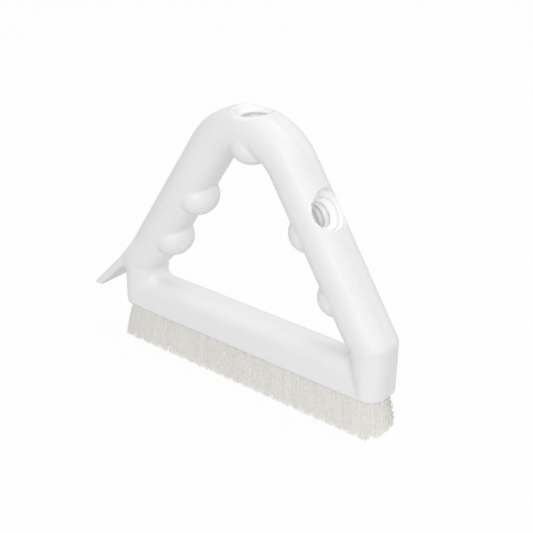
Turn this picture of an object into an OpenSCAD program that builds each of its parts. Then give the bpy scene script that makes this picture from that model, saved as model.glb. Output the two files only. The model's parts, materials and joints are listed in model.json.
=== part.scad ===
// Triangular grout brush: one moulded body with ball finger grips, two pole sockets
// and a scraper, filled with staple-set tufts of filament. Millimetres, +Z up.
// The origin is the middle of the trimmed filament tips. X runs along the brush,
// Y across it, and the scraper points to -X.

/* [Block] */
// Length of the block, end to end
block_l = 228.6; // [190:0.1:280]
// Thickness of the loop handle and the block's ends, across the brush
body_t = 33.5; // [32:0.5:42]
// Height of the bar between the legs
bar_h = 22.5; // [18:0.5:28]
// How far each side of the bar leans in from its foot to its top
bar_lean = 2.4; // [0.5:0.1:5]
// Setback of the bar's foot behind the sides of the ends
bar_setback = 0.5; // [0.2:0.1:1]
// Radius of the bar's long top edges
bar_edge_r = 9; // [4:0.5:11]
// Radius round the foot of the block
foot_r = 2; // [1:0.5:3]
// Radius of the hollow corner between the bar and each leg
inner_r = 8; // [3:0.5:10]

/* [Loop handle] */
// Height of the upright ends, from the underside to the shoulder
end_h = 38.8; // [36:0.5:50]
// Slope of the legs, from the horizontal, in degrees
leg_slope = 57.4; // [52:0.1:62]
// Width of the legs, seen from the front
leg_w = 28.7; // [28:0.1:34]
// Radius of the legs' long edges, as a share of the legs' width
leg_edge_share = 0.46; // [0.3:0.01:0.48]
// Outer radius of the shoulder where an end turns into its leg
shoulder_r = 9; // [4:0.5:12]
// Outer radius of the crown
crown_r = 53.5; // [45:0.5:60]

/* [Finger grips] */
// Radius of the balls
ball_r = 14.1; // [12:0.1:16]
// How far a ball on a leg stands out of the leg's inner side
ball_proud = 9; // [5:0.1:12]
// How far the ball under the crown stands out
crown_ball_proud = 9.5; // [8:0.5:12]
// Distance of the lower balls from the shoulder corner, along the leg
low_ball_at = 41; // [34:0.5:48]
// Distance of the upper balls from the shoulder corner, along the leg
high_ball_at = 86.5; // [78:0.5:94]

/* [Pole sockets] */
// Bore of the two pole sockets, at the outside of the pole's thread
socket_d = 19.6; // [17:0.1:22]
// Width of a socket's flared mouth
mouth_d = 28; // [24:0.5:30]
// Depth of the flare
mouth_h = 6; // [2:0.5:8]
// Depth of the straight recess above the flare of the leg's socket
recess_h = 4; // [0:0.5:6]
// Depth of the socket in the crown, from its mouth
crown_socket_h = 31; // [22:0.5:33]
// Wall left in the leg behind its socket
leg_floor = 3.7; // [2.5:0.1:8]
// Distance of the leg's socket from the shoulder corner, along the leg
leg_socket_at = 94.5; // [88:0.5:108]

/* [Scraper] */
// Width of the scraper
scraper_w = 28; // [16:0.5:29]
// Slope of the scraper, from the horizontal, in degrees
scraper_slope = 46; // [40:1:55]
// How far the scraping edge stands out from the block's end
scraper_reach = 31; // [20:0.5:36]
// Height of the scraping edge above the underside
scraper_edge_h = 4.5; // [2:0.5:8]
// Thickness of the scraper at its tip
scraper_tip_t = 5.5; // [2:0.5:6]
// Thickness of the scraper where it leaves the block
scraper_root_t = 7; // [6.5:0.5:9]

/* [Filaments] */
// Trimmed length of the filaments below the underside
trim = 26.5; // [18:0.5:32]
// Tufts in the middle row
mid_count = 27; // [21:2:31]
// Distance from row to row
row_pitch = 5.2; // [4.8:0.1:5.8]
// Diameter of the drilled tuft holes
hole_d = 4.4; // [3.6:0.1:5]
// Depth of the tuft holes
hole_h = 12; // [9:0.5:15]
// Wall between the middle row's last holes and the ends of the block
end_wall = 4.2; // [3:0.1:7]
// Spread of the rows' tips, as a share of the rows' spread at the block
row_splay = 0.35; // [0:0.05:0.6]
// Spread of the tips along the brush, as a share of the spread at the block
end_splay = 0.06; // [0:0.01:0.08]
// Thickness of a tuft's fold over its anchor
fold_t = 1.2; // [0.8:0.1:2]
// Thickness of the flat anchor wire
wire_t = 0.5; // [0.3:0.1:0.8]
// Width of the flat anchor wire
wire_w = 2.2; // [1.5:0.1:3]
// Clearance round the tufts and the anchors
fit_gap = 0.1; // [0.05:0.05:0.2]

/* [Hidden] */
$fn = 64;
// Steps of a rounded corner in a profile
corner_steps = 10;
// Rows of tufts on each side of the middle row
side_rows = 2;
// How far one stretch of a piece reaches into the next
lap = 0.5;
// The straight stretches of the loop are this much slimmer than its bends, which
// they run into, so that no two faces lie in one another
seam = 0.02;
hand_white = [0.93, 0.94, 0.95];
filament_white = [0.86, 0.84, 0.79];
wire_grey = [0.72, 0.73, 0.74];

// Lengths that follow from the sizes above
half_l = block_l / 2;
leg_edge_r = leg_w * leg_edge_share;
underside_z = trim;
shoulder_z = underside_z + end_h;
turn = 90 - leg_slope;
shoulder_run = shoulder_r * tan(turn / 2);
leg_run = (half_l - crown_r * sin(leg_slope)) / cos(leg_slope);
crown_z = shoulder_z + half_l * tan(leg_slope) - crown_r / cos(leg_slope);
bar_foot = body_t / 2 - bar_setback;
bar_top = bar_foot - bar_lean;
ball_depth = leg_w - ball_r + ball_proud;
crown_ball_depth = leg_w - ball_r + crown_ball_proud;

leg_socket_h = leg_w - leg_floor;

// Distance from tuft to tuft along a row
tuft_pitch = (block_l - 2 * end_wall - hole_d) / (mid_count - 1);
tuft_h = hole_h - fit_gap;
wire_z = underside_z + tuft_h - fold_t - fit_gap - wire_w;
root_r = hole_d / 2 - fit_gap;
// The flared part starts a little narrower than the straight one
neck_r = root_r - 3 * fit_gap;
// Tips of neighbouring tufts just clear each other, along a row and between rows
tip_pitch = tuft_pitch * (1 + end_splay);
tip_step = norm([tip_pitch / 2, row_pitch * (1 + row_splay)]);
tip_r = (min(tip_pitch, tip_step) / 2 - fit_gap) * cos(atan(end_splay * half_l / trim));

function tuft_name(k) = str("tufts_", k < 10 ? "0" : "", k);
function anchor_name(row) = str("anchors_row_", row + side_rows + 1);
function unit(v) = v / norm(v);

// Points of the corner at p between a and b, rounded to radius r
function round_corner(a, p, b, r) =
    r == 0 ? [p] :
    let (u = unit(a - p),
         v = unit(b - p),
         half = acos(u * v) / 2,
         c = p + unit(u + v) * r / sin(half),
         s = p + u * r / tan(half) - c,
         e = p + v * r / tan(half) - c,
         from = atan2(s[1], s[0]),
         span = (atan2(e[1], e[0]) - from + 540) % 360 - 180)
    [for (i = [0:corner_steps])
        let (t = from + span * i / corner_steps)
        c + r * [cos(t), sin(t)]];

// An outline with each of its corners rounded to its own radius
function rounded(points, radii) = [
    for (i = [0:len(points) - 1])
        let (n = len(points))
        each round_corner(points[(i + n - 1) % n], points[i], points[(i + 1) % n], radii[i])
];

// Outline of a rounded rectangle from (0, -t/2) to (w, t/2)
function oval(w, t, r) =
    rounded([[0, -t / 2], [w, -t / 2], [w, t / 2], [0, t / 2]], [r, r, r, r]);

// The rows are staggered: each has one tuft fewer than its inner neighbour
function row_count(row) = mid_count - abs(row);

// Place of a tuft's root: its row counts from the middle one, and k along the row
function root_x(row, k) = (k - (row_count(row) + 1) / 2) * tuft_pitch;
function root_y(row) = row * row_pitch;

// Section of the loop handle, drawn in all round: x is the depth below its outer side
module loop_section(inset = 0)
    translate([inset, 0])
        polygon(oval(leg_w - 2 * inset, body_t - 2 * inset, leg_edge_r - inset));

// Turns a profile about an axis along Y at (x, z), over part of a circle
module turned(x, z, from, span)
    translate([x, 0, z])
        rotate([90, 0, 0])
            rotate([0, 0, from])
                rotate_extrude(angle = span) mirror([0, 1]) children();

// Places its children on the left leg's outer side, at a distance from the shoulder
// corner, with X going into the leg and Z along it towards the crown
module on_leg(at)
    translate([at * cos(leg_slope) - half_l, 0, shoulder_z + at * sin(leg_slope)])
        rotate([0, turn, 0]) children();

module both_ends() {
    children();
    mirror([1, 0, 0]) children();
}

// Foot of an upright end: its outline drawn in towards the underside
module foot() {
    rise = [0, 0.3, 1] * foot_r;
    inset = [1, 0.3, 0] * foot_r;
    for (i = [0:1])
        hull()
            for (j = [i, i + 1])
                translate([inset[j] - half_l, 0, underside_z + rise[j]])
                    linear_extrude(0.01)
                        polygon(oval(leg_w - 2 * inset[j], body_t - 2 * inset[j],
                                     leg_edge_r - inset[j]));
}

module upright() {
    translate([-half_l, 0, underside_z + foot_r])
        linear_extrude(end_h - foot_r - shoulder_run + lap) loop_section(seam);
    foot();
}

// The outer part of the section, turned through the bend above the upright
module shoulder()
    turned(shoulder_r - half_l, shoulder_z - shoulder_run, 90 + leg_slope, turn)
        intersection() {
            translate([shoulder_r, 0]) mirror([1, 0]) loop_section();
            translate([0, -body_t / 2]) square([shoulder_r, body_t]);
        }

module leg()
    on_leg(shoulder_run - lap)
        linear_extrude(leg_run - shoulder_run + 2 * lap) loop_section(seam);

module crown()
    turned(0, crown_z, 90 - leg_slope, 2 * leg_slope)
        translate([crown_r, 0]) mirror([1, 0]) loop_section();

// The bar between the ends: its sides lean in and its long edges are rounded
module bar()
    translate([leg_w / 2 - half_l, 0, underside_z])
        rotate([90, 0, 90])
            linear_extrude(block_l - leg_w)
                polygon(rounded([[-bar_foot, 0], [bar_foot, 0], [bar_top, bar_h], [-bar_top, bar_h]],
                                [foot_r, foot_r, bar_edge_r, bar_edge_r]));

// Hollow corner between the bar and a leg: the bar's top turned up into the upright
module inner_corner() {
    back = inner_r + bar_edge_r + foot_r;
    turned(leg_w + inner_r - seam - half_l, underside_z + bar_h + inner_r - seam, 180, 90)
        polygon(rounded([[inner_r, -bar_top], [back, -bar_top], [back, bar_top], [inner_r, bar_top]],
                        [bar_edge_r, 0, 0, bar_edge_r]));
}

module grips() {
    both_ends()
        for (at = [low_ball_at, high_ball_at])
            on_leg(at) translate([ball_depth, 0, 0]) sphere(ball_r);
    translate([0, 0, crown_z + crown_r - crown_ball_depth]) sphere(ball_r);
}

module scraper() {
    edge = [-half_l - scraper_reach, underside_z + scraper_edge_h];
    // The blade's end is cut level, so its flat is wider than the blade is thick
    heel = edge + [scraper_tip_t / sin(scraper_slope), 0];
    back_x = leg_edge_r - half_l;
    back_top = edge[1] + (back_x - edge[0]) * tan(scraper_slope);
    back_drop = scraper_root_t / cos(scraper_slope);
    rotate([90, 0, 0])
        linear_extrude(scraper_w, center = true)
            polygon([edge, heel, [back_x, back_top - back_drop], [back_x, back_top]]);
}

// Pole socket, down from its mouth at the origin: a recess, a flare and a bore
module socket(depth, recess) {
    over = 2;
    flare = (mouth_d - socket_d) / mouth_h;
    open = recess > 0 ? 0 : over;
    translate([0, 0, -depth]) cylinder(d = socket_d, h = depth);
    translate([0, 0, -recess - mouth_h])
        cylinder(d1 = socket_d, d2 = mouth_d + flare * open, h = mouth_h + open);
    if (recess > 0) translate([0, 0, -recess]) cylinder(d = mouth_d, h = recess + over);
}

module pole_sockets() {
    translate([0, 0, crown_z + crown_r]) socket(crown_socket_h, 0);
    mirror([1, 0, 0]) on_leg(leg_socket_at) rotate([0, -90, 0]) socket(leg_socket_h, recess_h);
}

module tuft_holes()
    for (row = [-side_rows:side_rows])
        for (k = [1:row_count(row)])
            translate([root_x(row, k), root_y(row), underside_z - 1])
                cylinder(d = hole_d, h = hole_h + 1);

module handle() color(hand_white)
    difference() {
        union() {
            both_ends() {
                upright();
                shoulder();
                leg();
                inner_corner();
            }
            crown();
            bar();
            grips();
            scraper();
        }
        pole_sockets();
        tuft_holes();
    }

// A tuft: folded over its anchor, straight in its hole, then flared to its trimmed tips
module tuft(row, k) {
    x = root_x(row, k);
    y = root_y(row);
    lean = [end_splay * x, row_splay * y, -trim];
    tilt = acos(trim / norm(lean));
    grow = (tip_r - neck_r) / norm(lean);
    over = 2 * hole_d;
    difference() {
        translate([x, y, underside_z - lap]) cylinder(r = root_r, h = tuft_h + lap);
        translate([x - hole_d, y - wire_t / 2 - fit_gap, wire_z - fit_gap])
            cube([2 * hole_d, wire_t + 2 * fit_gap, wire_w + 2 * fit_gap]);
    }
    intersection() {
        translate([x, y, underside_z])
            rotate([0, 0, atan2(lean[1], lean[0])])
                rotate([0, 180 - tilt, 0])
                    translate([0, 0, -lap * 2])
                        cylinder(r1 = neck_r - grow * lap * 2, r2 = tip_r + grow * over,
                                 h = norm(lean) + lap * 2 + over);
        translate([x - trim, y - trim, 0]) cube([2 * trim, 2 * trim, trim + lap]);
    }
}

// The tufts of one column: rows that stand a half pitch aside start one number later
module tufts(k) color(filament_white)
    for (row = [-side_rows:side_rows]) {
        n = k - floor(abs(row) / 2);
        if (n >= 1 && n <= row_count(row)) tuft(row, n);
    }

// The flat wires that hold one row's tufts down in their holes
module anchors(row) color(wire_grey)
    for (k = [1:row_count(row)])
        translate([root_x(row, k) - root_r, root_y(row) - wire_t / 2, wire_z])
            cube([2 * root_r, wire_t, wire_w]);

handle();
for (k = [1:mid_count]) tufts(k);
for (row = [-side_rows:side_rows]) anchors(row);
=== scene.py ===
"""Looks of a triangular grout brush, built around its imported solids. Metres, +Z up."""

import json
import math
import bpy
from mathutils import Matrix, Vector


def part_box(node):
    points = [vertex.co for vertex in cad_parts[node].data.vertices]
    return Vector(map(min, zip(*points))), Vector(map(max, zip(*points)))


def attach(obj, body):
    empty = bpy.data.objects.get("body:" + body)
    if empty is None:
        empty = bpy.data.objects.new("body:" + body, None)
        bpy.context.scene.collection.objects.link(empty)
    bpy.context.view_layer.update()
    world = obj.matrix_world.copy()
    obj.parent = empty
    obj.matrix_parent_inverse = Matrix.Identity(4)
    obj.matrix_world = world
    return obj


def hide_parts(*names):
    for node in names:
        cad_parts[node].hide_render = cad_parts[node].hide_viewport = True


bl_info = {
    "name": "Grout Brush",
    "version": (1, 0, 0),
    "blender": (4, 5, 0),
    "location": "3D View > Sidebar > Grout Brush",
    "description": "Moulded handle, threaded sockets and crimped filaments of a grout brush",
    "category": "Object",
}

import bpy
import numpy as np
from bpy.props import FloatProperty, FloatVectorProperty, IntProperty, PointerProperty
from mathutils import Matrix

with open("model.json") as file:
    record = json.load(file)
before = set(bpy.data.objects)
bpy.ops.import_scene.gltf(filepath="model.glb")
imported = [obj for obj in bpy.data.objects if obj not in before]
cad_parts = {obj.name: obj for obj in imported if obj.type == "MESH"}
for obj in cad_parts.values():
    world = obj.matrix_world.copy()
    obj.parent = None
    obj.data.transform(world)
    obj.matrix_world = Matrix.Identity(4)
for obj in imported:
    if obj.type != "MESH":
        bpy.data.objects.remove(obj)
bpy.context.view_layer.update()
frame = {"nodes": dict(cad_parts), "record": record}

ROOT = "root"
PHOTO_PX = 533

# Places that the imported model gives
handle_low, handle_high = (np.array(v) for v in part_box("handle"))
UNDERSIDE = handle_low[2]
HALF_LENGTH = handle_high[0]
SCRAPER_X = handle_low[0]
THICKNESS = handle_high[1] - handle_low[1]
mounts = {m["name"]: m for m in frame["record"]["mounts"]}
LEG_NORMAL = np.array(mounts["leg_socket"]["axis"])
LEG_SLOPE = math.atan2(LEG_NORMAL[0], LEG_NORMAL[2])
TUFT_NODES = sorted(n for n in frame["nodes"] if n.startswith("tufts_"))
ANCHOR_NODES = sorted(n for n in frame["nodes"] if n.startswith("anchors_"))

# The hand hole's hollow corner turns to a crease between these shares of half the thickness
CREASE_FROM, CREASE_OVER = 0.5, 0.4
# Slopes are taken over this share of a cell, and squared slopes below this count as this
STEPS_PER_CELL = 20
LEAST_SQUARED_SLOPE = 0.25
# Places closer than this many decimals of a metre count as one, and so do levels this close
PLACE_DECIMALS = 6
LEVEL_GAP = 1e-4

# Share of a filament's fan-out that comes early, and the power of its way down that it grows by
EARLY_SHARE, EARLY_POWER = 0.6, 0.25
# Scatter of the tips in shares of their spread, and of the crimp in shares of its height
TIP_SCATTER, CRIMP_SCATTER = 0.05, 0.25
# Painted shade at the filaments' roots: their shade there, as a share of the shade at the tip
PAINTED_ROOT_SHADE = 0.75
# Shading normals: depth of the ends' own zone, upward share, and the least upward part
END_ZONE, UPWARD_SHARE, LEAST_UPWARD = 0.014, 0.6, 1e-4

# Range of a texture's value over which a ramp runs
RAMP_RANGE = (0.3, 0.7)
# Sockets of a Map Range node that works on vectors
RAMP_VALUE, RAMP_FROM_MIN, RAMP_FROM_MAX, RAMP_TO_MIN, RAMP_TO_MAX = 6, 7, 8, 9, 10
RAMP_RESULT = 1

LAMP_SIZE = 1.2
LAMP_AIM = (0, 0, 0.1)
KEY_PLACE = (1.2, -1.8, 1.15)
BACK_PLACE = (0.2, 1.0, 2.3)
# Colour of the floor to the light, and how much of it shows as plain white
FLOOR_GREY = 0.7
FLOOR_GLOW = 0.97


def length(name, text, value):
    """A size in metres that a user can change."""
    return FloatProperty(
        name=name, description=text, default=value, min=0, precision=5, unit="LENGTH"
    )


def colour(name, text, value):
    """A linear colour that a user can change."""
    return FloatVectorProperty(
        name=name, description=text, default=value, size=3, min=0, max=1, subtype="COLOR"
    )


class BrushHandleSizes(bpy.types.PropertyGroup):
    """Sizes of the moulded handle, above the block's underside."""

    end_h: length("End height", "From the underside to the shoulder", 0.0388)
    leg_w: length("Leg width", "Width of the loop, seen from the front", 0.0287)
    foot_narrow: length("Foot narrowing", "How much narrower the loop is at the foot", 0.006)
    leg_edge_r: length("Leg edge", "Radius of the loop's long edges", 0.0132)
    shoulder_r: length("Shoulder", "Outer radius where an end turns into its leg", 0.009)
    crown_r: length("Crown", "Outer radius of the crown", 0.0535)
    bar_h: length("Bar height", "Height of the bar between the legs", 0.0229)
    bar_lean: length("Bar lean", "How far each side of the bar leans in", 0.0046)
    bar_setback: length("Bar setback", "Setback of the bar's foot behind the ends", 0.0001)
    bar_edge_r: length("Bar edge", "Radius of the bar's top edges", 0.008)
    foot_r: length("Foot", "Radius round the underside", 0.002)
    inner_r: length("Inner corner", "Radius of the hollow corner of the hand hole", 0.008)
    crease_r: length("Crease", "Fillet where the bar's side meets an end", 0.0008)
    ball_r: length("Ball", "Radius of the finger balls", 0.0141)
    ball_half_t: length("Ball thickness", "Half the thickness of a ball, through the brush", 0.0157)
    crown_ball_r: length("Crown ball", "Radius of the ball under the crown", 0.0152)
    crown_ball_half_t: length("Crown ball thickness", "Half the crown ball's thickness", 0.0172)
    ball_proud: length("Ball stand-out", "How far a leg's ball stands out", 0.009)
    crown_ball_proud: length("Crown ball stand-out", "How far the crown's ball stands out", 0.0095)
    ball_fillet_r: length("Ball fillet", "Fillet round each ball", 0.001)
    low_ball_at: length("Lower ball", "Distance from the shoulder, along the leg", 0.041)
    high_ball_at: length("Upper ball", "Distance from the shoulder, along the leg", 0.0865)
    scraper_w: length("Scraper width", "Width of the scraper", 0.028)
    scraper_edge_h: length("Scraper height", "Height of the scraping edge", 0.0045)
    scraper_tip_t: length("Scraper tip", "Thickness of the scraper at its tip", 0.0055)
    scraper_root_t: length("Scraper root", "Thickness of the scraper at the block", 0.007)
    scraper_round_r: length("Scraper edges", "Radius of the scraper's edges", 0.0009)
    scraper_fillet_r: length("Scraper fillet", "Fillet where the scraper leaves the end", 0.004)
    scraper_slope: FloatProperty(
        name="Scraper slope",
        description="Slope of the scraper from the horizontal",
        default=math.radians(46),
        unit="ROTATION",
    )
    mouth_r: length("Mouth", "Radius of a socket's flared mouth", 0.014)
    mouth_h: length("Flare depth", "Depth of the flare", 0.006)
    recess_h: length("Recess", "Depth of the straight recess above the leg's flare", 0.004)
    rim_r: length("Rim", "Radius of the rim round a mouth", 0.0008)
    cell: length("Cell", "Edge of the cells that the surface is worked out on", 0.00115)


class BrushThreadSizes(bpy.types.PropertyGroup):
    """Sizes of the thread ridges in both sockets."""

    pitch: length("Pitch", "Distance from turn to turn", 0.00508)
    ridge_h: length("Ridge height", "How far the ridge stands in from the wall", 0.0015)
    root_w: length("Ridge root", "Width of the ridge at the wall", 0.0046)
    start: length("Start", "Depth at which the thread starts", 0.003)
    run_out: length("Run-out", "Depth over which the thread grows and fades", 0.002)


class BrushFilamentSizes(bpy.types.PropertyGroup):
    """Sizes of the crimped filaments."""

    radius: length("Radius", "Radius of a filament", 0.00022)
    wave: length("Crimp height", "Half the height of the crimp's wave", 0.00048)
    wavelength: length("Crimp length", "Length of one wave of the crimp", 0.0042)
    sunk: length("Sunk", "How far the modelled filaments reach into their hole", 0.0012)
    uneven: length("Uneven tips", "Largest gap between a tip and the trimmed plane", 0.0002)
    end_trim: length("End trim", "How far the mass of tips ends short of the handle", 0.0008)
    side_reach: length("Side reach", "How far the tips stand out past the sides", 0.0005)
    spread: length("Spread", "Half the width of a tuft's tips", 0.0044)
    root_spread: length("Root spread", "Radius of a tuft in its hole", 0.0022)
    per_tuft: IntProperty(name="Filaments", description="Filaments in a tuft", default=72, min=7)
    stray: FloatProperty(
        name="Stray", description="Share of a filament's own roundness in its shading", default=1.0
    )
    rings: IntProperty(name="Rings", description="Rings along a filament", default=26, min=4)
    seed: IntProperty(name="Seed", description="Seed of the random draws", default=7)


class BrushFinish(bpy.types.PropertyGroup):
    """Colours of the brush."""

    plastic: colour("Plastic", "Moulded white plastic", (0.92, 0.92, 0.926))
    # The socket walls' colour is whiter than the plastic's: painted light that brightens the shaded
    # bores
    wall: colour("Socket wall", "The same plastic in the sockets' thin walls", (0.99, 0.99, 0.99))
    filament: colour("Filament", "Off-white filament", (1.0, 0.98, 0.94))
    wire: colour("Wire", "Drawn anchor wire", (0.72, 0.73, 0.74))


class BrushStageSettings(bpy.types.PropertyGroup):
    """Camera, lamps and floor."""

    turn: FloatProperty(
        name="Turn",
        description="Camera's turn about Z",
        default=math.radians(38.06),
        unit="ROTATION",
    )
    rise: FloatProperty(
        name="Rise", description="Camera's rise", default=math.radians(26.5), unit="ROTATION"
    )
    roll: FloatProperty(
        name="Roll", description="Camera's roll", default=math.radians(0.82), unit="ROTATION"
    )
    distance: length("Distance", "From the camera to the point it turns about", 0.7003)
    aim_x: length("Aim, along", "Point that the camera turns about, along the brush", 0.0122)
    aim_z: length("Aim, up", "The same point's height above the underside", 0.0626)
    focal_px: FloatProperty(
        name="Focal length", description="In pixels of the photograph's frame", default=1040
    )
    world: FloatProperty(name="World", description="Strength of the dome of light", default=0.53)
    key: FloatProperty(name="Key", description="Power of the key lamp", default=22, unit="POWER")
    back: FloatProperty(name="Back", description="Power of the back lamp", default=14, unit="POWER")
    floor_size: length("Floor", "Side of the floor", 6.0)


def settings(group):
    """The property group of that name, from the scene."""
    return getattr(bpy.context.scene, "grout_brush_" + group)


def round_join(a, b, r):
    """Union of two distance fields with a hollow fillet: where both are nearer than r,
    r less the distance to the corner of the two r-levels, and else the smaller one."""
    hollow = np.hypot(np.maximum(r - a, 0), np.maximum(r - b, 0))
    return np.maximum(np.minimum(a, b), r) - hollow


def round_cut(a, b, r):
    """Overlap of two distance fields with its edge rounded: within r of both surfaces,
    the distance from a circle of radius r inside the edge, and else the larger one."""
    edge = np.hypot(np.maximum(a + r, 0), np.maximum(b + r, 0))
    return np.minimum(np.maximum(a, b), -r) + edge


def loop_depth(s, x, z):
    """Depth inside the loop's outer outline: the least of the depths inside the upright
    end and the leg, and radius less distance where the shoulder and the crown turn."""
    sin, cos = math.sin(LEG_SLOPE), math.cos(LEG_SLOPE)
    x = np.abs(x)
    depth = np.minimum(HALF_LENGTH - x, (HALF_LENGTH - x) * sin + (s.end_h - z) * cos)
    run = s.shoulder_r * math.tan((math.pi / 2 - LEG_SLOPE) / 2)
    dx, dz = x - (HALF_LENGTH - s.shoulder_r), z - (s.end_h - run)
    bend = (dz > 0) & (dz * sin < dx * cos)
    depth = np.where(bend, s.shoulder_r - np.hypot(dx, dz), depth)
    dz = z - crown_centre(s)
    return np.where(x * cos < dz * sin, s.crown_r - np.hypot(x, dz), depth)


def crown_centre(s):
    """Height above the underside of the centre that the crown turns about."""
    return s.end_h + HALF_LENGTH * math.tan(LEG_SLOPE) - s.crown_r / math.cos(LEG_SLOPE)


def on_leg(s, at, depth):
    """Point at a distance from the shoulder along the right leg's outer side, and at a
    depth below it, with its height above the underside."""
    sin, cos = math.sin(LEG_SLOPE), math.cos(LEG_SLOPE)
    x = HALF_LENGTH - at * cos - depth * sin
    return np.array([x, 0, s.end_h + at * sin - depth * cos])


def loop_field(s, x, y, z):
    """Distance from the loop: a rounded rectangle in the depth below the outer side and
    the offset from the middle plane. It narrows evenly from the shoulder to the foot."""
    narrowing = s.foot_narrow * np.clip(1 - z / s.end_h, 0, 1)
    half_w, half_t = (s.leg_w - narrowing) / 2, THICKNESS / 2
    u = np.abs(loop_depth(s, x, z) - half_w) - half_w
    return round_cut(u, np.abs(y) - half_t, s.leg_edge_r)


def bar_field(s, x, y, z):
    """Distance from the bar: two leaning sides and a top, with the long edges rounded."""
    foot = THICKNESS / 2 - s.bar_setback
    lean = math.atan2(s.bar_lean, s.bar_h)
    side = (np.abs(y) - foot) * math.cos(lean) + z * math.sin(lean)
    section = round_cut(side, z - s.bar_h, s.bar_edge_r)
    return np.maximum(section, np.abs(x) - (HALF_LENGTH - s.leg_w / 2))


def scraper_field(s, x, y, z):
    """Distance from the scraper: the wedge between its two faces, cut level at the tip."""
    top = (math.sin(s.scraper_slope), math.cos(s.scraper_slope))
    back = s.leg_edge_r - HALF_LENGTH
    back_top = s.scraper_edge_h + (back - SCRAPER_X) * top[0] / top[1]
    back_low = back_top - s.scraper_root_t / top[1]
    heel = SCRAPER_X + s.scraper_tip_t / top[0]
    low = np.array([back_low - s.scraper_edge_h, heel - back])
    low /= np.linalg.norm(low)
    upper = (z - s.scraper_edge_h) * top[1] - (x - SCRAPER_X) * top[0]
    lower = (x - heel) * low[0] + (z - s.scraper_edge_h) * low[1]
    wedge = np.maximum(round_cut(upper, s.scraper_edge_h - z, s.scraper_round_r), lower)
    wedge = np.maximum(wedge, x - back)
    return round_cut(wedge, np.abs(y) - s.scraper_w / 2, s.scraper_round_r)


def sockets(s):
    """For each pole socket: its mouth's centre above the underside, its axis out of the
    mouth, its wall radius, the depth of its recess and its whole depth."""
    found = []
    for name, recess in (("crown_socket", 0), ("leg_socket", s.recess_h)):
        mount = mounts[name]
        axis = np.array(mount["axis"])
        wall = mount["dims"]["length_mm"] / 1000
        middle = np.array(mount["pos_m"]) - [0, 0, UNDERSIDE]
        above = recess + s.mouth_h
        mouth = middle + axis * (wall / 2 + above)
        found.append((mouth, axis, mount["dims"]["r_mm"] / 1000, recess, wall + above))
    return found


def thread_rise(t, d, turn, depth):
    """How far the thread stands in from a socket's wall: a squared cosine across the
    ridge, whose middle goes down one pitch to a turn, and which fades at both ends."""
    along = (d - t.start) / t.pitch - turn / (2 * math.pi)
    across = np.clip((along - np.round(along)) * t.pitch / t.root_w, -0.5, 0.5)
    fade = np.clip(np.minimum(d - t.start, depth - d) / t.run_out, 0, 1)
    return t.ridge_h * np.cos(math.pi * across) ** 2 * fade


def socket_field(s, p, mouth, axis, wall_r, recess, depth):
    """Distance from a socket's hollow: a bore as deep as the socket, a cone that widens
    upwards from it, both narrowed by the thread, and a straight recess over the cone."""
    offset = mouth - p
    d = offset @ axis
    side = np.array([0.0, 1.0, 0.0])
    u, v = offset @ side, offset @ np.cross(axis, side)
    rho = np.hypot(u, v)
    ridged = rho + thread_rise(settings("thread"), d, np.arctan2(v, u), depth)
    flare = math.atan2(s.mouth_r - wall_r, s.mouth_h)
    cone = (ridged - s.mouth_r) * math.cos(flare) + (d - recess) * math.sin(flare)
    cone = np.maximum(cone, d - recess - s.mouth_h)
    if recess:
        cone = np.maximum(cone, rho - s.mouth_r)
    return np.minimum(round_cut(ridged - wall_r, d - depth, s.rim_r), cone)


def handle_field(s, p):
    """Distance from the moulded handle's surface, negative inside, for rows of points
    whose heights are above the underside."""
    x, y, z = p.T
    # The hollow corner of the hand hole narrows to a crease down the bar's sides
    beside = np.clip((np.abs(y) / (THICKNESS / 2) - CREASE_FROM) / CREASE_OVER, 0, 1)
    corner = s.inner_r + (s.crease_r - s.inner_r) * beside
    body = round_join(loop_field(s, x, y, z), bar_field(s, x, y, z), corner)
    body = round_join(body, scraper_field(s, x, y, z), s.scraper_fillet_r)
    balls = [
        (on_leg(s, at, s.leg_w - s.ball_r + s.ball_proud), s.ball_r, s.ball_half_t)
        for at in (s.low_ball_at, s.high_ball_at)
    ]
    crown_depth = s.leg_w - s.crown_ball_r + s.crown_ball_proud
    crown_ball = np.array([0, 0, crown_centre(s) + s.crown_r - crown_depth])
    balls.append((crown_ball, s.crown_ball_r, s.crown_ball_half_t))
    for centre, r, half_t in balls:
        folded = np.stack([np.abs(x), y * r / half_t, z], axis=1)
        ball = np.linalg.norm(folded - centre, axis=1) - r
        body = round_join(body, ball, s.ball_fillet_r)
    for socket in sockets(s):
        body = round_cut(body, -socket_field(s, p, *socket), s.rim_r)
    return round_cut(body, -z, s.foot_r)


def gradient(field, p, step):
    """Slope of a field at rows of points, from differences a step to each side."""
    return np.stack(
        [(field(p + step * e) - field(p - step * e)) / (2 * step) for e in np.eye(3)], axis=1
    )


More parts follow.
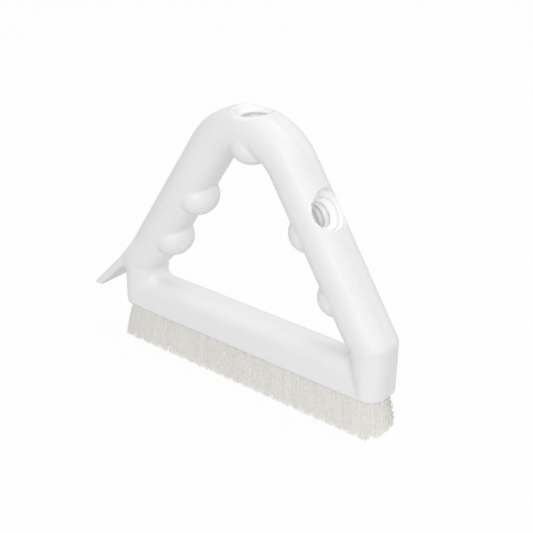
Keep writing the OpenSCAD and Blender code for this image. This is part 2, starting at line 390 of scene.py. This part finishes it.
def surface_net(field, low, high, cell):
    """Zero surface of a field over a box of cubic cells: one point in each cell that the
    surface crosses, the mean of its edges' crossings, and one quad round each crossed
    edge of the grid."""
    count = np.ceil((high - low) / cell).astype(int) + 1
    axes = [low[i] + cell * np.arange(count[i]) for i in range(3)]
    nodes = np.stack(np.meshgrid(*axes, indexing="ij"), axis=-1)
    value = field(nodes.reshape(-1, 3)).reshape(count)
    inside = value < 0
    corners = np.array([[i, j, k] for i in (0, 1) for j in (0, 1) for k in (0, 1)])
    cells = count - 1
    window = [tuple(slice(c[i], c[i] + cells[i]) for i in range(3)) for c in corners]
    held = sum(inside[w].astype(np.int8) for w in window)
    active = (held > 0) & (held < len(corners))
    at = np.argwhere(active)
    index = np.full(cells, -1)
    index[active] = np.arange(len(at))
    values = np.stack([value[w][active] for w in window], axis=1)
    total = np.zeros((len(at), 3))
    hits = np.zeros(len(at))
    pairs = [(a, b) for a in range(len(corners)) for b in range(a, len(corners))]
    for a, b in [(a, b) for a, b in pairs if abs(corners[a] - corners[b]).sum() == 1]:
        fa, fb = values[:, a], values[:, b]
        crossed = (fa < 0) != (fb < 0)
        share = np.where(crossed, fa / np.where(crossed, fa - fb, 1), 0)[:, None]
        total += crossed[:, None] * (corners[a] + share * (corners[b] - corners[a]))
        hits += crossed
    points = low + cell * (at + total / hits[:, None])
    quads = []
    for axis in range(3):
        u, v = (axis + 1) % 3, (axis + 2) % 3
        first = np.moveaxis(inside, axis, 0)[:-1]
        last = np.moveaxis(inside, axis, 0)[1:]
        edge = np.moveaxis(first != last, 0, axis)
        edges = np.argwhere(edge)
        edges = edges[np.all((edges > 0) | (np.arange(3) == axis), axis=1)]
        ring = []
        for du, dv in ((-1, -1), (0, -1), (0, 0), (-1, 0)):
            step = np.zeros(3, int)
            step[u], step[v] = du, dv
            ring.append(index[tuple((edges + step).T)])
        quad = np.stack(ring, axis=1)
        outward = inside[tuple(edges.T)]
        quads.append(np.where(outward[:, None], quad, quad[:, ::-1]))
    return points, np.concatenate(quads)


def settle(field, points, quads, cell, even_rounds=4, last_rounds=2):
    """Evens out a net and lays it on the surface: each point goes half way to the mean of
    its neighbours, and then down the field's slope to the zero level. The last rounds
    leave out the first step."""
    ends = np.concatenate([quads[:, [i, (i + 1) % 4]] for i in range(4)])
    number = np.bincount(ends[:, 0], minlength=len(points))
    for turn in range(even_rounds + last_rounds):
        if turn < even_rounds:
            near = [
                np.bincount(ends[:, 0], points[ends[:, 1], i], len(points)) / number
                for i in range(3)
            ]
            points = (points + np.stack(near, axis=1)) / 2
        slope = gradient(field, points, cell / STEPS_PER_CELL)
        steep = np.maximum((slope**2).sum(axis=1), LEAST_SQUARED_SLOPE)
        points = points - slope * (field(points) / steep)[:, None]
    return points


def ring_faces(rings, around):
    """Quads of a tube of rings, with the points numbered ring by ring."""
    i = np.arange(rings - 1)[:, None] * around
    j = np.arange(around)[None, :]
    k = (j + 1) % around
    return np.stack([i + j, i + k, i + around + k, i + around + j], axis=-1).reshape(-1, 4)


def make_piece(name, points, faces, material):
    """A mesh object at the origin that rides on the brush, with its place in its mesh."""
    mesh = bpy.data.meshes.new(name)
    mesh.from_pydata(points, [], faces)
    mesh.shade_smooth()
    mesh.materials.append(material)
    piece = bpy.data.objects.new(name, mesh)
    bpy.context.scene.collection.objects.link(piece)
    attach(piece, ROOT)
    return piece


def node_tree(name):
    """A new material, its nodes, its links and its shader."""
    material = bpy.data.materials.new(name)
    material.use_nodes = True
    tree = material.node_tree
    return material, tree.nodes, tree.links, tree.nodes["Principled BSDF"]


def add_noise(nodes, links, scale, detail):
    """A noise texture on Object coordinates, with its scale in waves to a metre."""
    place = nodes.new("ShaderNodeTexCoord")
    noise = nodes.new("ShaderNodeTexNoise")
    noise.inputs["Scale"].default_value = scale
    noise.inputs["Detail"].default_value = detail
    links.new(place.outputs["Object"], noise.inputs["Vector"])
    return noise.outputs["Fac"]


def add_ramp(nodes, links, fac, low, high):
    """A ramp between two colours or two values over the middle of a noise."""
    ramp = nodes.new("ShaderNodeMapRange")
    ramp.data_type = "FLOAT_VECTOR"
    ramp.inputs[RAMP_FROM_MIN].default_value = (RAMP_RANGE[0],) * 3
    ramp.inputs[RAMP_FROM_MAX].default_value = (RAMP_RANGE[1],) * 3
    ramp.inputs[RAMP_TO_MIN].default_value = low
    ramp.inputs[RAMP_TO_MAX].default_value = high
    links.new(fac, ramp.inputs[RAMP_VALUE])
    return ramp.outputs[RAMP_RESULT]


def add_bump(nodes, links, fac, shader, distance, strength):
    """Bump from a texture, with its height in metres."""
    bump = nodes.new("ShaderNodeBump")
    bump.inputs["Distance"].default_value = distance
    bump.inputs["Strength"].default_value = strength
    links.new(fac, bump.inputs["Height"])
    links.new(bump.outputs["Normal"], shader.inputs["Normal"])


def moulded_plastic(name, white, carried, reach):
    """White moulded plastic: a faint cloudiness in colour and gloss, a fine eggshell
    skin, and a share of the light carried some way under the surface."""
    material, nodes, links, shader = node_tree(name)
    white = np.array(white)
    cloud = add_noise(nodes, links, scale=45, detail=3)
    cloud = add_ramp(nodes, links, cloud, low=tuple(white * 0.985), high=tuple(white))
    links.new(cloud, shader.inputs["Base Color"])
    gloss = add_noise(nodes, links, scale=160, detail=4)
    gloss = add_ramp(nodes, links, gloss, low=(0.4,) * 3, high=(0.5,) * 3)
    links.new(gloss, shader.inputs["Roughness"])
    shader.inputs["IOR"].default_value = 1.49
    shader.inputs["Subsurface Weight"].default_value = carried
    shader.inputs["Subsurface Radius"].default_value = (1.0, 0.95, 0.9)
    shader.inputs["Subsurface Scale"].default_value = reach
    skin = add_noise(nodes, links, scale=900, detail=2)
    add_bump(nodes, links, skin, shader, distance=0.00004, strength=0.5)
    return material


def filament_plastic(finish):
    """Off-white drawn filament with a soft sheen. Its shade varies at random along each strand, and
    painted shade darkens it towards the root, by the attribute "shade"."""
    material, nodes, links, shader = node_tree("crimped_filament")
    cream = np.array(finish.filament)
    shade = nodes.new("ShaderNodeAttribute")
    shade.attribute_name = "shade"
    dark = tuple(cream * [0.84, 0.83, 0.81])
    ramp = add_ramp(nodes, links, shade.outputs["Fac"], low=dark, high=tuple(cream))
    links.new(ramp, shader.inputs["Base Color"])
    shader.inputs["Roughness"].default_value = 0.42
    shader.inputs["IOR"].default_value = 1.53
    shader.inputs["Sheen Weight"].default_value = 1.0
    shader.inputs["Sheen Roughness"].default_value = 0.6
    drawn = add_noise(nodes, links, scale=5000, detail=2)
    add_bump(nodes, links, drawn, shader, distance=0.00001, strength=0.4)
    return material


def drawn_wire(finish):
    """Drawn steel wire of the anchors, with fine draw lines."""
    material, nodes, links, shader = node_tree("drawn_wire")
    grey = np.array(finish.wire)
    lines = add_noise(nodes, links, scale=3000, detail=3)
    shaded = add_ramp(nodes, links, lines, low=tuple(grey * 0.8), high=tuple(grey))
    links.new(shaded, shader.inputs["Base Color"])
    shader.inputs["Metallic"].default_value = 1
    shader.inputs["Roughness"].default_value = 0.35
    add_bump(nodes, links, lines, shader, distance=0.00001, strength=0.5)
    return material


class BRUSH_OT_handle(bpy.types.Operator):
    """Make the moulded handle as one smooth surface"""

    bl_idname = "grout_brush.handle"
    bl_label = "Handle"

    def execute(self, context):
        s = settings("handle")
        margin = 2 * s.cell
        lift = np.array([0, 0, UNDERSIDE])
        low = handle_low - lift - margin
        high = handle_high - lift + margin
        high[2] += margin

        def field(p):
            return handle_field(s, p)

        points, quads = surface_net(field, low, high, s.cell)
        points = settle(field, points, quads, s.cell)
        normals = gradient(field, points, s.cell / STEPS_PER_CELL)
        normals /= np.linalg.norm(normals, axis=1)[:, None]
        finish = settings("finish")
        solid = moulded_plastic(
            "moulded_white_plastic", finish.plastic, carried=0.06, reach=0.004
        )
        piece = make_piece("moulded_handle", points + lift, quads, solid)
        piece.data.normals_split_custom_set_from_vertices(normals)
        # The sockets' thin walls let light through, carried further under their surface, and their
        # colour is painted whiter than the solid handle's: painted light that brightens the shaded
        # bores
        wall = moulded_plastic("socket_wall_painted_bright", finish.wall, carried=0.2, reach=0.006)
        piece.data.materials.append(wall)
        middle = points[quads].mean(axis=1)
        in_socket = np.zeros(len(quads), bool)
        for mouth, axis, wall_r, recess, depth in sockets(s):
            offset = mouth - middle
            d = offset @ axis
            rho = np.linalg.norm(offset - d[:, None] * axis, axis=1)
            in_socket |= (rho < s.mouth_r + s.rim_r / 2) & (d > s.rim_r) & (d < depth + s.cell)
        piece.data.polygons.foreach_set("material_index", in_socket.astype(np.int32))
        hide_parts("handle")
        return {"FINISHED"}


def separate_solids(mesh):
    """Points of each separate solid in a mesh of loose triangles. Points in one place
    count as one, and the lowest number round each triangle is handed on to its corners
    until nothing changes."""
    co = np.empty(len(mesh.vertices) * 3)
    mesh.vertices.foreach_get("co", co)
    corner = np.empty(len(mesh.loops), int)
    mesh.loops.foreach_get("vertex_index", corner)
    places, same = np.unique(
        np.round(co.reshape(-1, 3), PLACE_DECIMALS), axis=0, return_inverse=True
    )
    triangles = same.reshape(-1)[corner].reshape(-1, 3)
    label = np.arange(len(places))
    while True:
        lower = label.copy()
        np.minimum.at(lower, triangles, label[triangles].min(axis=1)[:, None])
        if np.array_equal(lower, label):
            break
        label = lower
    return [places[label == n] for n in np.unique(label)]


def tuft_places():
    """Root and tip of each tuft, by node: the middles of its highest and lowest points."""
    places = {}
    for name in TUFT_NODES:
        ends = []
        for solid in separate_solids(frame["nodes"][name].data):
            for level in (solid[:, 2].max(), solid[:, 2].min()):
                ring = solid[np.abs(solid[:, 2] - level) < LEVEL_GAP, :2]
                ends.append((ring.min(axis=0) + ring.max(axis=0)) / 2)
        places[name] = np.array(ends).reshape(-1, 2, 2)
    return places


def filaments(f, rng, root, tip):
    """The filaments of one tuft as three-sided tubes. Strand n starts at the nth point of
    a sunflower spiral in the hole and fans out, fastest at first, to the same point of
    the spiral stretched towards a square, so that the tufts' tips close up. On its way
    it waves from side to side."""
    n = np.arange(f.per_tuft)
    angle = n * math.pi * (3 - math.sqrt(5)) + rng.uniform(0, 2 * math.pi)
    away = np.sqrt((n + 0.5) / f.per_tuft)
    spiral = away[:, None] * np.stack([np.cos(angle), np.sin(angle)], axis=1)
    square = spiral * (np.linalg.norm(spiral, axis=1) / np.abs(spiral).max(axis=1))[:, None]
    jitter = rng.normal(0, TIP_SCATTER, (f.per_tuft, 2))
    start = root + spiral * f.root_spread
    end = tip + ((spiral + square) / 2 + jitter) * f.spread
    trimmed = np.array([HALF_LENGTH - f.end_trim, THICKNESS / 2 + f.side_reach])
    end = np.clip(end, -trimmed, trimmed)
    t = np.linspace(0, 1, f.rings)[None, :, None]
    out = (1 - EARLY_SHARE) * t + EARLY_SHARE * t**EARLY_POWER
    flat = start[:, None] + (end - start)[:, None] * out
    top = UNDERSIDE + f.sunk
    bottom = rng.uniform(0, f.uneven, f.per_tuft)
    z = top + (bottom[:, None] - top) * t[..., 0]
    heading = rng.uniform(0, math.pi, f.per_tuft)
    phase = rng.uniform(0, 2 * math.pi, f.per_tuft)
    along = (top - z) / f.wavelength * 2 * math.pi + phase[:, None]
    free = np.clip((top - z) / (2 * f.sunk), 0, 1)
    swing = f.wave * (np.sin(along) + rng.normal(0, CRIMP_SCATTER, along.shape)) * free
    flat[..., 0] += swing * np.cos(heading)[:, None]
    flat[..., 1] += swing * np.sin(heading)[:, None]
    corner = np.arange(3) * 2 * math.pi / 3 + rng.uniform(0, 2 * math.pi, (f.per_tuft, 1))
    circle = f.radius * np.stack([np.cos(corner), -np.sin(corner)], axis=-1)
    points = np.empty((f.per_tuft, f.rings, 3, 3))
    points[..., :2] = flat[:, :, None] + circle[:, None]
    points[..., 2] = z[..., None]
    # Each bit of each strand gets a tone at random, and painted shade darkens the strands towards
    # the root
    shade = rng.uniform(*RAMP_RANGE, (f.per_tuft, f.rings, 1))
    shade *= PAINTED_ROOT_SHADE + (1 - PAINTED_ROOT_SHADE) * t
    shades = np.broadcast_to(shade, (f.per_tuft, f.rings, 3))
    # The mass of filaments is lit as one soft surface that faces out of the brush
    beyond = np.clip(np.abs(end[:, 0]) - HALF_LENGTH + END_ZONE, 0, None) * np.sign(end[:, 0])
    upward = UPWARD_SHARE * np.hypot(beyond, end[:, 1]) + LEAST_UPWARD
    outward = np.stack([beyond, end[:, 1], upward], axis=1)
    outward /= np.linalg.norm(outward, axis=1)[:, None]
    normals = np.empty_like(points)
    normals[...] = outward[:, None, None]
    normals[..., :2] += f.stray * circle[:, None] / f.radius
    normals /= np.linalg.norm(normals, axis=-1)[..., None]
    return points.reshape(-1, 3), shades.reshape(-1), normals.reshape(-1, 3)


def filament_faces(f, count):
    """Faces of a number of three-sided filaments: the quads of their tubes, and a cap at
    each end."""
    first = 3 * f.rings * np.arange(count)
    tubes = (ring_faces(f.rings, 3)[None] + first[:, None, None]).reshape(-1, 4)
    last = 3 * (f.rings - 1)
    ends = np.array([[2, 1, 0], [last, last + 1, last + 2]])
    caps = (ends[None] + first[:, None, None]).reshape(-1, 3)
    return tubes.tolist() + caps.tolist()


class BRUSH_OT_tufts(bpy.types.Operator):
    """Make the tufts of crimped filaments"""

    bl_idname = "grout_brush.tufts"
    bl_label = "Tufts"

    def execute(self, context):
        f = settings("filament")
        rng = np.random.default_rng(f.seed)
        material = filament_plastic(settings("finish"))
        for name, places in tuft_places().items():
            made = [filaments(f, rng, root, tip) for root, tip in places]
            points = np.concatenate([m[0] for m in made])
            faces = filament_faces(f, len(made) * f.per_tuft)
            title = name.replace("tufts", "filaments")
            piece = make_piece(title, points, faces, material)
            normals = np.concatenate([m[2] for m in made])
            piece.data.normals_split_custom_set_from_vertices(normals)
            # Filament is translucent: shadow and bounced rays pass it by, which keeps the
            # inside of the bundles light
            piece.visible_shadow = False
            piece.visible_diffuse = False
            shades = np.concatenate([m[1] for m in made]).astype(np.float32)
            piece.data.attributes.new("shade", "FLOAT", "POINT").data.foreach_set("value", shades)
            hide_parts(name)
        return {"FINISHED"}


class BRUSH_OT_anchors(bpy.types.Operator):
    """Give the anchor wires their finish"""

    bl_idname = "grout_brush.anchors"
    bl_label = "Anchors"

    def execute(self, context):
        material = drawn_wire(settings("finish"))
        for name in ANCHOR_NODES:
            mesh = frame["nodes"][name].data
            mesh.materials.clear()
            mesh.materials.append(material)
        return {"FINISHED"}


def add_lamp(name, power, place):
    """A square area lamp at a place, facing the brush."""
    lamp = bpy.data.lights.new(name, "AREA")
    lamp.energy = power
    lamp.size = LAMP_SIZE
    holder = bpy.data.objects.new(name, lamp)
    back = np.array(place) - LAMP_AIM
    back /= np.linalg.norm(back)
    right = np.cross([0, 0, 1], back)
    right /= np.linalg.norm(right)
    turned = np.eye(4)
    turned[:3, :3] = np.stack([right, np.cross(back, right), back], axis=1)
    turned[:3, 3] = place
    holder.matrix_world = Matrix(turned)
    bpy.context.scene.collection.objects.link(holder)


def add_camera(c):
    """A camera that turns, rises and rolls about its aim point as the photograph's did."""
    sin_a, cos_a = math.sin(c.turn), math.cos(c.turn)
    sin_e, cos_e = math.sin(c.rise), math.cos(c.rise)
    back = np.array([sin_a * cos_e, -cos_a * cos_e, sin_e])
    right = np.array([cos_a, sin_a, 0])
    up = np.cross(back, right)
    sin_r, cos_r = math.sin(c.roll), math.cos(c.roll)
    turned = np.eye(4)
    rolled = [cos_r * right + sin_r * up, cos_r * up - sin_r * right, back]
    turned[:3, :3] = np.stack(rolled, axis=1)
    turned[:3, 3] = np.array([c.aim_x, 0, UNDERSIDE + c.aim_z]) + back * c.distance
    camera = bpy.data.cameras.new("camera")
    camera.sensor_width = 36
    camera.lens = c.focal_px / PHOTO_PX * camera.sensor_width
    camera.clip_start = 0.01
    holder = bpy.data.objects.new("camera", camera)
    holder.matrix_world = Matrix(turned)
    bpy.context.scene.collection.objects.link(holder)
    bpy.context.scene.camera = holder


def seen_directly(nodes, links):
    """1 on rays from the camera, a mirror or clear glass, and 0 on the rest."""
    path = nodes.new("ShaderNodeLightPath")
    total = path.outputs["Is Camera Ray"]
    for name in ("Is Glossy Ray", "Is Transmission Ray"):
        larger = nodes.new("ShaderNodeMath")
        larger.operation = "MAXIMUM"
        links.new(total, larger.inputs[0])
        links.new(path.outputs[name], larger.inputs[1])
        total = larger.outputs[0]
    return total


def add_world(strength):
    """A dome of soft white light, with a plain white background where it is seen."""
    world = bpy.data.worlds.new("studio")
    world.use_nodes = True
    nodes, links = world.node_tree.nodes, world.node_tree.links
    background = nodes["Background"]
    background.inputs["Color"].default_value = (1, 1, 1, 1)
    blend = nodes.new("ShaderNodeMapRange")
    blend.inputs["To Min"].default_value = strength
    blend.inputs["To Max"].default_value = 1
    links.new(seen_directly(nodes, links), blend.inputs["Value"])
    links.new(blend.outputs["Result"], background.inputs["Strength"])
    bpy.context.scene.world = world


def add_floor(size):
    """A white floor that shows white where nothing shades it and keeps a soft shadow."""
    material = bpy.data.materials.new("studio_floor")
    material.use_nodes = True
    nodes, links = material.node_tree.nodes, material.node_tree.links
    shader = nodes["Principled BSDF"]
    shader.inputs["Base Color"].default_value = (FLOOR_GREY, FLOOR_GREY, FLOOR_GREY, 1)
    shader.inputs["Roughness"].default_value = 1
    shader.inputs["Specular IOR Level"].default_value = 0
    glow = nodes.new("ShaderNodeEmission")
    glow.inputs["Strength"].default_value = 1
    share = nodes.new("ShaderNodeMath")
    share.operation = "MULTIPLY"
    share.inputs[1].default_value = FLOOR_GLOW
    links.new(seen_directly(nodes, links), share.inputs[0])
    mix = nodes.new("ShaderNodeMixShader")
    links.new(share.outputs[0], mix.inputs["Fac"])
    links.new(shader.outputs["BSDF"], mix.inputs[1])
    links.new(glow.outputs["Emission"], mix.inputs[2])
    links.new(mix.outputs["Shader"], nodes["Material Output"].inputs["Surface"])
    half = size / 2
    mesh = bpy.data.meshes.new("floor")
    corners = [(-half, -half, 0), (half, -half, 0), (half, half, 0), (-half, half, 0)]
    mesh.from_pydata(corners, [], [(0, 1, 2, 3)])
    mesh.materials.append(material)
    floor = bpy.data.objects.new("floor", mesh)
    bpy.context.scene.collection.objects.link(floor)


class BRUSH_OT_stage(bpy.types.Operator):
    """Set up the camera, the lamps, the world and the floor"""

    bl_idname = "grout_brush.stage"
    bl_label = "Stage"

    def execute(self, context):
        c = settings("stage")
        context.scene.view_settings.view_transform = "Standard"
        add_camera(c)
        add_lamp("key", c.key, KEY_PLACE)
        add_lamp("back", c.back, BACK_PLACE)
        add_world(c.world)
        add_floor(c.floor_size)
        return {"FINISHED"}


OPERATORS = (BRUSH_OT_stage, BRUSH_OT_handle, BRUSH_OT_tufts, BRUSH_OT_anchors)
GROUPS = {
    "handle": BrushHandleSizes,
    "thread": BrushThreadSizes,
    "filament": BrushFilamentSizes,
    "finish": BrushFinish,
    "stage": BrushStageSettings,
}


class BRUSH_PT_panel(bpy.types.Panel):
    """Sizes, colours and pieces of the grout brush"""

    bl_idname = "BRUSH_PT_panel"
    bl_label = "Grout Brush"
    bl_space_type = "VIEW_3D"
    bl_region_type = "UI"
    bl_category = "Grout Brush"

    def draw(self, context):
        for operator in OPERATORS:
            self.layout.operator(operator.bl_idname)
        for name, group in GROUPS.items():
            box = self.layout.box()
            box.label(text=name.capitalize())
            for prop in group.__annotations__:
                box.prop(settings(name), prop)


def register():
    for cls in (*GROUPS.values(), *OPERATORS, BRUSH_PT_panel):
        bpy.utils.register_class(cls)
    for name, group in GROUPS.items():
        setattr(bpy.types.Scene, "grout_brush_" + name, PointerProperty(type=group))


def unregister():
    for name in GROUPS:
        delattr(bpy.types.Scene, "grout_brush_" + name)
    for cls in (BRUSH_PT_panel, *OPERATORS, *reversed(GROUPS.values())):
        bpy.utils.unregister_class(cls)


def main():
    register()
    for operator in OPERATORS:
        group, name = operator.bl_idname.split(".")
        getattr(getattr(bpy.ops, group), name)()


if __name__ == "__main__":
    main()
